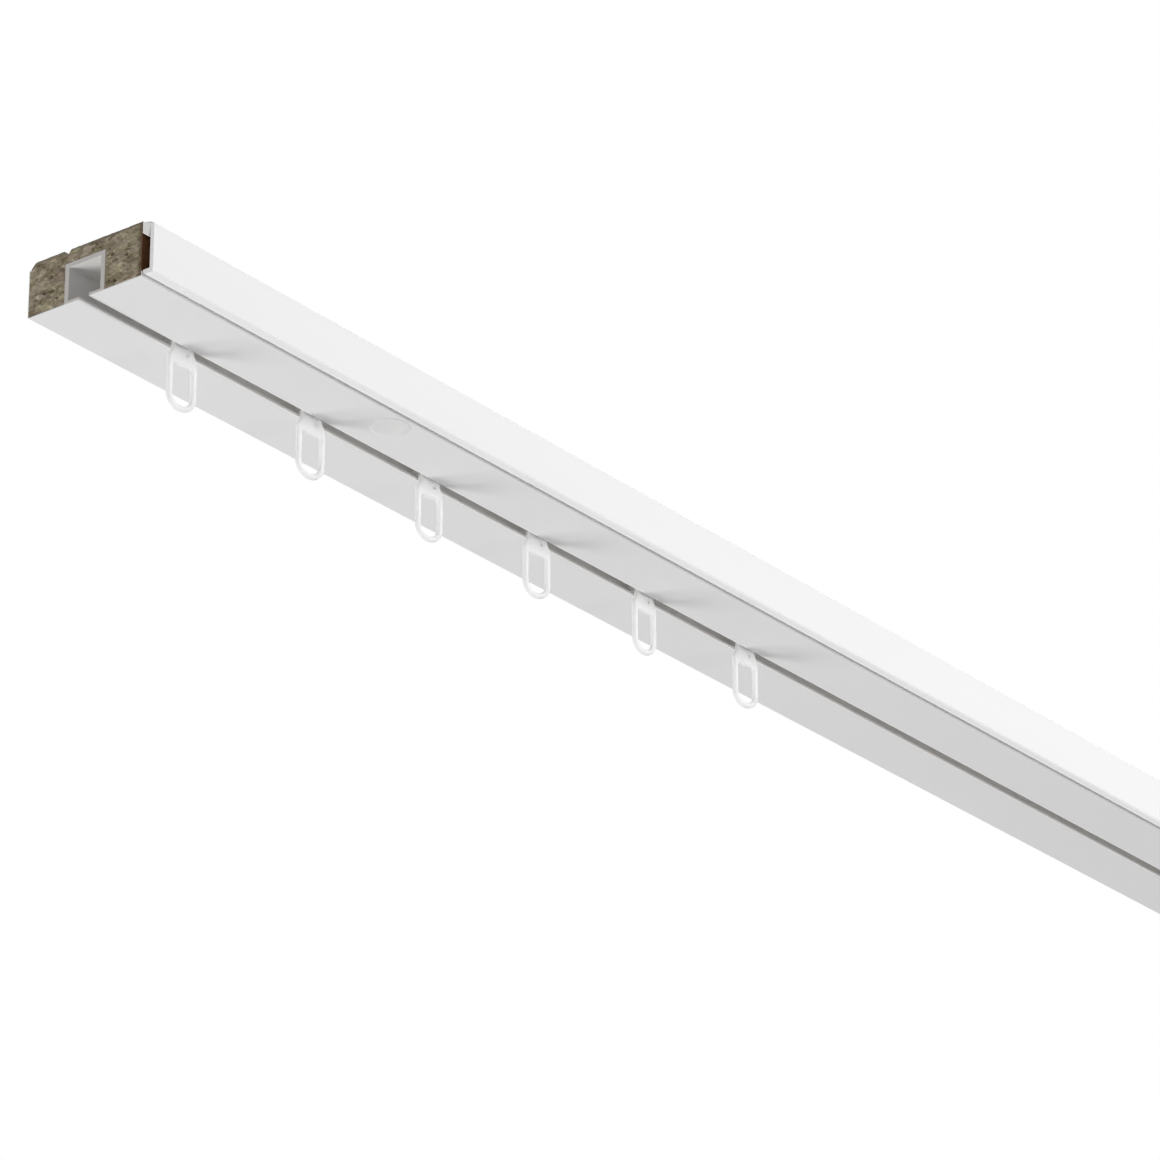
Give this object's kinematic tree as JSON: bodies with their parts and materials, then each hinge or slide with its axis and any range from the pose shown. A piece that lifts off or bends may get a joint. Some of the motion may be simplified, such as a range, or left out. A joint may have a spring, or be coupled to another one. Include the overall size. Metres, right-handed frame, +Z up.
{
  "type": "curtain track",
  "caption": "Single-run ceiling curtain track: foil-wrapped chipboard batten with a slotted plastic channel, clip-on fascia, capped screw holes and sliding gliders with long eyes.",
  "frame": {"origin": "middle of the flat top face that meets the ceiling, above the middle of the slot and half way along the rail", "axes": "+X along the rail from the end shown near to the far end, +Z up into the ceiling, the fascia faces -Y"},
  "size_m": [1, 0.055, 0.0427],
  "materials": {
    "chipboard": "raw sawn chipboard, mixed light and dark flakes",
    "white_foil": "satin white decor foil",
    "channel_plastic": "extruded white plastic",
    "fascia_plastic": "smooth satin white plastic",
    "cap_plastic": "moulded white plastic",
    "glider_plastic": "milky white moulded plastic"
  },
  "bodies": {
    "track": {"chipboard_core": "chipboard", "foil_back": "white_foil", "foil_front": "white_foil", "channel_insert": "channel_plastic", "fascia": "fascia_plastic", "cover_cap_near": "cap_plastic", "cover_cap_far": "cap_plastic"},
    "glider_1": {"glider_1": "glider_plastic"},
    "glider_2": {"glider_2": "glider_plastic"},
    "glider_3": {"glider_3": "glider_plastic"},
    "glider_4": {"glider_4": "glider_plastic"},
    "glider_5": {"glider_5": "glider_plastic"},
    "glider_6": {"glider_6": "glider_plastic"}
  },
  "joints": [
    {"name": "glider_1_slide", "type": "slide", "parent": "track", "child": "glider_1", "axis": [1, 0, 0], "range_m": [-0.0414, 0.0255]},
    {"name": "glider_2_slide", "type": "slide", "parent": "track", "child": "glider_2", "axis": [1, 0, 0], "range_m": [-0.0255, 0.0243]},
    {"name": "glider_3_slide", "type": "slide", "parent": "track", "child": "glider_3", "axis": [1, 0, 0], "range_m": [-0.0243, 0.0226]},
    {"name": "glider_4_slide", "type": "slide", "parent": "track", "child": "glider_4", "axis": [1, 0, 0], "range_m": [-0.0226, 0.0239]},
    {"name": "glider_5_slide", "type": "slide", "parent": "track", "child": "glider_5", "axis": [1, 0, 0], "range_m": [-0.0239, 0.0232]},
    {"name": "glider_6_slide", "type": "slide", "parent": "track", "child": "glider_6", "axis": [1, 0, 0], "range_m": [-0.0232, 0.6311]}
  ]
}
